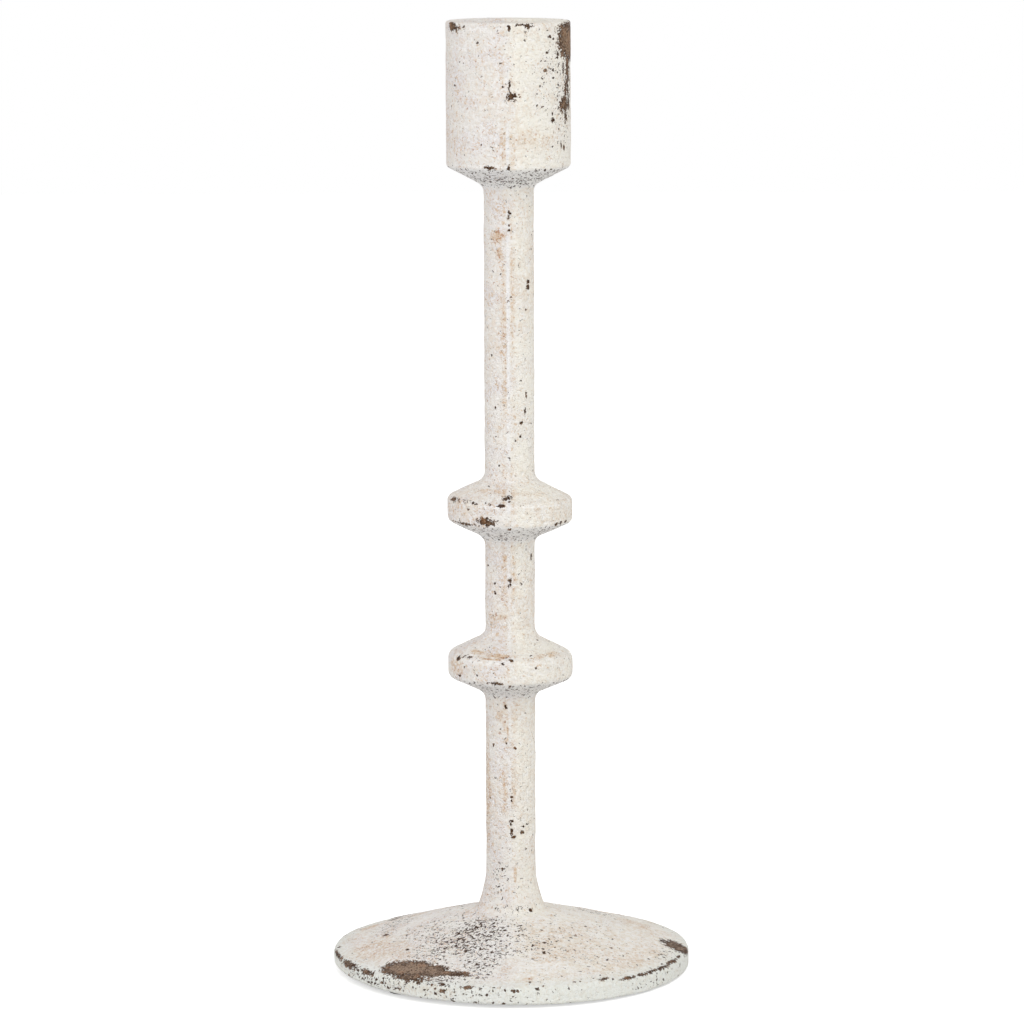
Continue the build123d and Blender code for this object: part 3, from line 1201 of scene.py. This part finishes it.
# ---------------------------------------------------------------- outlines and threads
# A corner is (radius, height, rounding, step, skin), in mm.

# how far out the foot's seat on the base reaches, to where the cone begins
SEAT_RADIUS = 12.4


def knop_corners(sizes, number, step):
    """Corners from the stem out round a knop and back: the lower knop is number 0."""
    stem, knop = sizes.stem_radius / MM, sizes.knop_radius / MM
    middle = (sizes.lower_knop + number * sizes.knop_spacing) / MM
    half_band, cone = sizes.knop_band / MM / 2, sizes.knop_cone / MM
    hollow = 4.2
    # the lower knop is the rounder one
    shoulder = 2.2 + 0.6 * (1 - number)
    return [
        (stem, middle - half_band - cone + 0.5, hollow, step, 1),
        (knop + 0.1, middle - half_band + 0.15, shoulder, step, 1),
        (knop + 0.1, middle + half_band - 0.1, shoulder, step, 1),
        (stem, middle + half_band + cone, hollow, step, 1),
    ]


def column_corners(sizes):
    """Corners of the column's outline, from the stud's hole out and up to the socket's floor."""
    stem, cup = sizes.stem_radius / MM, sizes.cup_radius / MM
    rim, seat = column_high.z / MM, base_high.z / MM
    fine, coarse = 0.77, 2.0
    spigot, spigot_end = 7, column_low.z / MM
    hole, hole_end = stud_high.x / MM + 0.05, stud_high.z / MM + 3
    corners = [
        (0, hole_end, 0, coarse, 0),
        (hole, hole_end, 0.2, coarse, 0),
        (hole, spigot_end, 0.3, coarse, 0),
        (spigot, spigot_end, 0.4, coarse, 0),
        (spigot, seat, 0, coarse, 0),
        # the paint bridges the joint: the foot feathers out over the base's cone
        (13.7, seat - 1.0, 0, 0.4, 1),
        (13.05, seat - 0.26, 0.3, 0.4, 1),
        (stem + 3.0, seat + 0.43, 2.6, fine, 1),
    ]
    # the foot flares in an arc over this height, to this much past the stem
    flare, spread, steps = 15.6, 3.3, 12
    bend = (flare**2 + spread**2) / (2 * spread)
    for step in range(3, steps + 1):
        height = flare * step / steps
        sag = bend - math.sqrt(bend**2 - (flare - height) ** 2)
        corners.append((stem + sag, seat + height, 0, fine, 1))
    for number in (0, 1):
        corners += knop_corners(sizes, number, fine)
    cup_edge = rim - sizes.cup_height / MM
    bore, floor = sizes.socket_radius / MM, rim - sizes.socket_depth / MM
    chamfer = 0.8
    return corners + [
        (stem, cup_edge - sizes.cup_cone / MM + 0.2, 3.2, fine, 1),
        (cup, cup_edge, 1.8, fine, 1),
        (cup, rim, 0.9, fine, 1),
        (bore + chamfer, rim, 0.4, 0.5, 0.5),
        (bore, rim - chamfer, 0.5, coarse, 0.5),
        (bore, floor, 0.8, coarse, 0.3),
        (0, floor, 0, coarse, 0.3),
    ]


def cone_top(sizes, radius):
    """How high the base's coned top is, this far from the axis."""
    edge, seat = base_high.x / MM, base_high.z / MM
    shoulder = base_low.z / MM + sizes.rim_height / MM
    slope = (seat - shoulder) / (edge - SEAT_RADIUS)
    return seat - slope * (radius - SEAT_RADIUS)


def base_corners(sizes):
    """Corners of the base's outline, from its hub out along the underside and back on top."""
    edge, bottom, seat = base_high.x / MM, base_low.z / MM, base_high.z / MM
    shoulder = bottom + sizes.rim_height / MM
    wall = 4.5
    hub, hub_bottom = 11.0, washer_top / MM
    dish = edge - 15.5
    bolt_hole = 3.3
    recess, recess_floor = 7.15, column_low.z / MM - 0.2
    fine, coarse = 0.7, 1.3
    return [
        (bolt_hole, hub_bottom, 0, coarse, 0.3),
        (hub, hub_bottom, 0.8, coarse, 1),
        (hub, cone_top(sizes, hub) - wall, 1.2, coarse, 1),
        (dish, cone_top(sizes, dish) - wall, 2.0, coarse, 1),
        (dish, bottom, 0.8, coarse, 1),
        (53.6, bottom, 0, 0.5, 1),
        (edge, bottom - 0.5, 1.2, 0.5, 1),
        (edge, shoulder, 2.3, fine, 1),
        (SEAT_RADIUS, seat, 0.8, coarse, 0),
        (recess, seat, 0.3, coarse, 0),
        (recess, recess_floor, 0.3, coarse, 0),
        (bolt_hole, recess_floor, 0.2, coarse, 0),
        (bolt_hole, hub_bottom, 0, coarse, 0),
    ]


def threaded_rod(crest, pitch, low, high):
    """Points and faces of a rod along Z with a rolled thread and coned ends, in metres."""
    depth = 0.61 * pitch
    cone = 0.6 * MM
    around, rows = 48, 200
    spots, faces = [(0.0, 0.0, low)], []
    for row in range(rows):
        height = low + (high - low) * row / (rows - 1)
        to_end = min(height - low, high - height)
        for step in range(around):
            angle = math.tau * step / around
            phase = (height / pitch - step / around) % 1.0
            # 0 in a root and 1 on a crest, both a little flat
            up = min(max((1 - abs(2 * phase - 1)) * 1.25 - 0.125, 0), 1)
            radius = min(crest - depth * (1 - up), crest - cone + to_end)
            spots.append((radius * math.cos(angle), radius * math.sin(angle), height))
    spots.append((0.0, 0.0, high))
    for row in range(rows - 1):
        for step in range(around):
            here = 1 + row * around + step
            beside = 1 + row * around + (step + 1) % around
            faces.append((here, beside, beside + around, here + around))
    last = 1 + (rows - 1) * around
    for step in range(around):
        faces.append((0, 1 + (step + 1) % around, 1 + step))
        faces.append((len(spots) - 1, last + step, last + (step + 1) % around))
    return spots, faces


def felt_pad_tree(radius, thickness):
    """Presses a felt disc at each place."""
    tree, start, given = new_tree(
        "Felt pads",
        "Places",
        (
            ("Radius", "Float", radius),
            ("Thickness", "Float", thickness),
            ("Crush", "Float", 0.035),
            ("Fuzz", "Float", 0.12 * MM),
            ("Material", "Material", None),
        ),
        "Pads",
    )
    width, tall = given.other("Radius"), given.other("Thickness")
    disc = start.node(
        "GeometryNodeMeshCylinder",
        {
            "Vertices": 96,
            "Side Segments": 8,
            "Fill Segments": 20,
            "Radius": width,
            "Depth": tall,
        },
        out="Mesh",
        fill_type="TRIANGLE_FAN",
    )
    place = start.node("GeometryNodeInputPosition")
    spot = start.node("ShaderNodeSeparateXYZ", {0: place}, out="X")
    level = start.maths("ABSOLUTE", spot.other("Z")) / (tall * 0.5)
    out = distance(spot) / width
    # the cut edge is a little crushed: it pulls in at its top and bottom
    crushed = out.above(0.93, 0.14) * level * level * given.other("Crush")
    fuzz = place.noise(0.7, 3.0) * given.other("Fuzz")
    shrink = 1 - crushed - fuzz / width
    slim = 1 - (fuzz * 0.8) / (tall * 0.5)
    scaled = start.node(
        "ShaderNodeCombineXYZ",
        {"X": spot * shrink, "Y": spot.other("Y") * shrink, "Z": spot.other("Z") * slim},
    )
    disc = start.node("GeometryNodeSetPosition", {"Geometry": disc, "Position": scaled})
    disc = start.node("GeometryNodeSetShadeSmooth", {"Geometry": disc})
    points = start.node("GeometryNodeMeshToPoints", {"Mesh": given.other("Places")})
    pads = start.node("GeometryNodeInstanceOnPoints", {"Points": points, "Instance": disc})
    end_tree(start, given, pads, "Pads")
    return tree


# ---------------------------------------------------------------- floor, light and camera


def seen(start):
    """1 on rays from the camera, and on those that gloss and glass send on."""
    rays = start.node("ShaderNodeLightPath", out="Is Camera Ray")
    return rays.most(rays.other("Is Glossy Ray")).most(rays.other("Is Transmission Ray"))


def lay_floor():
    """A pale floor that keeps the shadow, with a glow of its own where it is seen."""
    half = 3.0
    corners = [(-half, -half, 0), (half, -half, 0), (half, half, 0), (-half, half, 0)]
    mesh = bpy.data.meshes.new("floor")
    mesh.from_pydata(corners, [], [(0, 1, 2, 3)])
    floor = new_piece("floor", mesh)
    material, start, shader = material_tree("pale_floor")
    output = start.tree.nodes["Material Output"]
    diffuse = start.node("ShaderNodeBsdfDiffuse", {"Color": (0.86, 0.86, 0.86, 1.0)})
    glow = start.node("ShaderNodeEmission", {"Color": (1, 1, 1, 1), "Strength": seen(start) * 0.5})
    both = start.node("ShaderNodeAddShader", {0: diffuse, 1: glow})
    start.tree.links.new(both.socket, output.inputs["Surface"])
    start.tree.nodes.remove(shader)
    mesh.materials.append(material)


def surround(brightness):
    """An even light from all sides, which is white where it is seen."""
    world = bpy.data.worlds.new("white_surround")
    world.use_nodes = True
    bpy.context.scene.world = world
    sky = Wire(world.node_tree)
    background = world.node_tree.nodes["Background"]
    background.inputs["Color"].default_value = (1, 1, 1, 1)
    strength = brightness + seen(sky) * (1 - brightness)
    world.node_tree.links.new(strength.socket, background.inputs["Strength"])


def softbox(name, place, width, height, power, shade):
    """A soft rectangular light, aimed at the middle of the candlestick."""
    aim = Vector((0, 0, 0.15))
    light = bpy.data.lights.new(name, "AREA")
    light.shape = "RECTANGLE"
    light.size, light.size_y = width, height
    light.energy, light.color = power, shade
    lamp = bpy.data.objects.new(name, light)
    lamp.location = place
    lamp.rotation_euler = (aim - lamp.location).to_track_quat("-Z", "Y").to_euler()
    bpy.context.scene.collection.objects.link(lamp)


def set_camera():
    """A long lens from a little above the rim, tilted down and a hair sideways."""
    lens = bpy.data.cameras.new("camera")
    lens.sensor_width, lens.lens = 36.0, 164.86
    place = (0.00072, -1.4896, 0.37646)
    tilt, roll = 0.1514, -0.0035
    camera = bpy.data.objects.new("camera", lens)
    camera.matrix_world = (
        Matrix.Translation(place)
        @ Matrix.Rotation(math.pi / 2 - tilt, 4, "X")
        @ Matrix.Rotation(roll, 4, "Z")
    )
    bpy.context.scene.collection.objects.link(camera)
    bpy.context.scene.camera = camera


# ---------------------------------------------------------------- operators


def settings():
    """The sizes, the colours and the stage's light, as the user has set them."""
    scene = bpy.context.scene
    return scene.candlestick_sizes, scene.candlestick_finish, scene.candlestick_stage


def ball_dots(marks, spot_of):
    """Small chips as balls of space, in metres. Spot_of gives the spot of a mark's place."""
    balls = []
    for turn, place, half_width, half_height in marks:
        radius, height = spot_of(place)
        angle = math.radians(turn)
        x, y = radius * math.sin(angle), -radius * math.cos(angle)
        balls.append([value * MM for value in (x, y, height, half_width, half_height)])
    return balls


class CANDLESTICK_OT_column(Operator):
    """Cast the column: flared foot, stem, two knops and cup, with its socket"""

    bl_idname = "candlestick.column"
    bl_label = "Column"

    def execute(self, context):
        sizes, colours, _ = settings()
        stem, cup = sizes.stem_radius / MM, sizes.cup_radius / MM
        rim, seat = column_high.z / MM, base_high.z / MM
        cup_edge = rim - sizes.cup_height / MM
        points, skins = rounded(column_corners(sizes))
        radii, heights = points.T
        # only the knops lean, well above the foot and well below the cup
        tilting = np.clip((radii - stem) / 4, 0, 1) * (heights > seat + 40)
        tilting *= heights < cup_edge - 10
        still = np.zeros(len(points))
        piece, along = outline_piece("painted_column", points, skins, tilting, still)

        outside = (skins == 1) & (heights > seat - 0.01) & (radii > stem - 0.1)
        radii, heights, along = radii[outside], heights[outside], along[outside]
        # a place above the rim lies on its top, that much further in
        places = heights + np.where(heights > rim - 0.01, cup - radii, 0)

        def place_along(place):
            return np.interp(place, places, along)

        def spot_of(place):
            return [np.interp(place, places, run) for run in (radii, heights)]

        material = painted_iron(
            "painted_iron_column",
            ball_dots(COLUMN_DOTS, spot_of),
            colours,
            colours.column_iron,
            fleck_size=0.85,
            coat=0.2,
        )
        grown(
            piece,
            casting_tree(),
            {
                "Segments": sizes.column_segments,
                "Lump Depth": sizes.lump_depth,
                "Ridge Height": sizes.ridge_height,
                "Tilt": -0.014,
                "Highest": column_high.z,
                "Widest": (sizes.knop_radius / MM + 0.3) * MM,
                "Material": material,
            },
        )
        surface = Surface(piece.data, place_along)
        surface.wear(COLUMN_CHIPS, COLUMN_FLECKS, COLUMN_STAINS, COLUMN_EDGES)
        surface.seam(SEAM_RUNS)
        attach(piece, "root")
        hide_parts("column")
        return {"FINISHED"}


class CANDLESTICK_OT_base(Operator):
    """Cast the base: a shallow cone with an upright rim, dished underneath"""

    bl_idname = "candlestick.base"
    bl_label = "Base"

    def execute(self, context):
        sizes, colours, _ = settings()
        edge, bottom, seat = base_high.x / MM, base_low.z / MM, base_high.z / MM
        points, skins = rounded(base_corners(sizes))
        radii, heights = points.T
        # a place on top is how far out along the cone it lies, and then down the rim
        places = radii + (cone_top(sizes, radii) - heights)
        standing = int(np.flatnonzero(heights < bottom + 0.01)[-1])
        seated = int(np.argmin(np.hypot(radii - SEAT_RADIUS, heights - seat)))
        top, under = slice(seated, standing, -1), slice(standing + 1)
        # the back of the top sinks, the more the further out, and the foot of the rim tilts
        sinking = np.zeros(len(points))
        sinking[top] = np.clip((radii[top] - 20) / (edge - 20), 0, 1)
        sinking[top] *= np.clip((heights[top] - bottom - 1.2) / 3, 0, 1)
        tilting = np.clip((radii - 53.5) / 4, 0, 1) * np.clip((4.0 - heights) / 2.5, 0, 1)
        piece, along = outline_piece("painted_base", points, skins, tilting, sinking)

        def place_along(place):
            # below nought, a place lies on the underside, that far from the axis
            if place < 0:
                return np.interp(-place, radii[under], along[under])
            return np.interp(place, places[top], along[top])

        def spot_of(place):
            return [np.interp(place, places[top], run[top]) for run in (radii, heights)]

        material = painted_iron(
            "painted_iron_base",
            ball_dots(BASE_DOTS, spot_of),
            colours,
            colours.base_iron,
            fleck_size=1.0,
            coat=0.02,
        )
        grown(
            piece,
            casting_tree(),
            {
                "Segments": sizes.base_segments,
                "Lump Depth": sizes.lump_depth,
                "Ridge Height": 0.08 * MM,
                "Tilt": -0.0156,
                "Sink": 0.024,
                "Lowest": 0.2 * MM,
                "Highest": base_high.z,
                "Widest": base_high.x,
                "Material": material,
            },
        )
        surface = Surface(piece.data, place_along)
        # the base's underside takes less of the painted shade
        surface.wear(BASE_CHIPS, BASE_FLECKS, BASE_STAINS, BASE_EDGES, shade_strength=0.4)
        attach(piece, "root")
        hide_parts("base")
        return {"FINISHED"}


class CANDLESTICK_OT_fasteners(Operator):
    """Cut the stud's thread, and plate the nut and both washers"""

    bl_idname = "candlestick.fasteners"
    bl_label = "Fasteners"

    def execute(self, context):
        sizes, colours, _ = settings()
        zinc = dull_zinc("dull_zinc", colours)
        for name in FASTENER_NODES:
            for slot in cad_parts[name].material_slots:
                slot.material = zinc

        mesh = bpy.data.meshes.new("threaded_stud")
        spots, faces = threaded_rod(stud_high.x, sizes.thread_pitch, stud_low.z, stud_high.z)
        mesh.from_pydata(spots, [], faces)
        mesh.materials.append(zinc)
        piece = new_piece("threaded_stud", mesh)
        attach(piece, "root")
        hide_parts("stud")
        return {"FINISHED"}


class CANDLESTICK_OT_felt_pads(Operator):
    """Press four felt discs and stick them under the base"""

    bl_idname = "candlestick.felt_pads"
    bl_label = "Felt pads"

    def execute(self, context):
        _, colours, _ = settings()
        boxes = [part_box(name) for name in PAD_NODES]
        low, high = boxes[0]
        radius = (high.x - low.x) / 2
        thickness = high.z - low.z
        mesh = bpy.data.meshes.new("felt_pads")
        mesh.from_pydata([(low + high) / 2 for low, high in boxes], [], [])
        piece = new_piece("felt_pads", mesh)
        felt = pressed_felt("pressed_felt", colours)
        grown(piece, felt_pad_tree(radius, thickness), {"Material": felt})
        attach(piece, "root")
        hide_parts(*PAD_NODES)
        return {"FINISHED"}


class CANDLESTICK_OT_stage(Operator):
    """Lay the pale floor and set the soft light and the camera"""

    bl_idname = "candlestick.stage"
    bl_label = "Stage"

    def execute(self, context):
        _, _, stage = settings()
        context.scene.view_settings.view_transform = "Standard"
        lay_floor()
        surround(stage.surround)
        key_white, fill_white = (1.0, 1.0, 0.985), (1.0, 0.985, 0.98)
        softbox("key", (0.5, -2.0, 1.4), 2.1, 2.1, stage.key_power, key_white)
        softbox("fill", (-1.5, -0.7, 0.7), 0.9, 1.2, stage.key_power * 0.15, fill_white)
        set_camera()
        return {"FINISHED"}


class CANDLESTICK_PT_panel(Panel):
    """Lists the candlestick's pieces and their settings"""

    bl_label = "Candlestick"
    bl_space_type = "VIEW_3D"
    bl_region_type = "UI"
    bl_category = "Candlestick"

    def draw(self, context):
        layout = self.layout
        for group in settings():
            box = layout.box()
            for name in group.__annotations__:
                box.prop(group, name)
        for operator in OPERATORS:
            layout.operator(operator.bl_idname)


GROUPS = {
    "candlestick_sizes": CandlestickSizes,
    "candlestick_finish": CandlestickFinish,
    "candlestick_stage": CandlestickStage,
}
OPERATORS = (
    CANDLESTICK_OT_column,
    CANDLESTICK_OT_base,
    CANDLESTICK_OT_fasteners,
    CANDLESTICK_OT_felt_pads,
    CANDLESTICK_OT_stage,
)


def register():
    """Add the settings, the operators and the panel to Blender."""
    for group in GROUPS.values():
        bpy.utils.register_class(group)
    for name, group in GROUPS.items():
        setattr(bpy.types.Scene, name, PointerProperty(type=group))
    for operator in OPERATORS:
        bpy.utils.register_class(operator)
    bpy.utils.register_class(CANDLESTICK_PT_panel)


def unregister():
    """Take them away again."""
    bpy.utils.unregister_class(CANDLESTICK_PT_panel)
    for operator in reversed(OPERATORS):
        bpy.utils.unregister_class(operator)
    for name in GROUPS:
        delattr(bpy.types.Scene, name)
    for group in reversed(GROUPS.values()):
        bpy.utils.unregister_class(group)


def main():
    """Build the candlestick on its stage."""
    register()
    bpy.ops.candlestick.column()
    bpy.ops.candlestick.base()
    bpy.ops.candlestick.fasteners()
    bpy.ops.candlestick.felt_pads()
    bpy.ops.candlestick.stage()


if __name__ == "__main__":
    main()
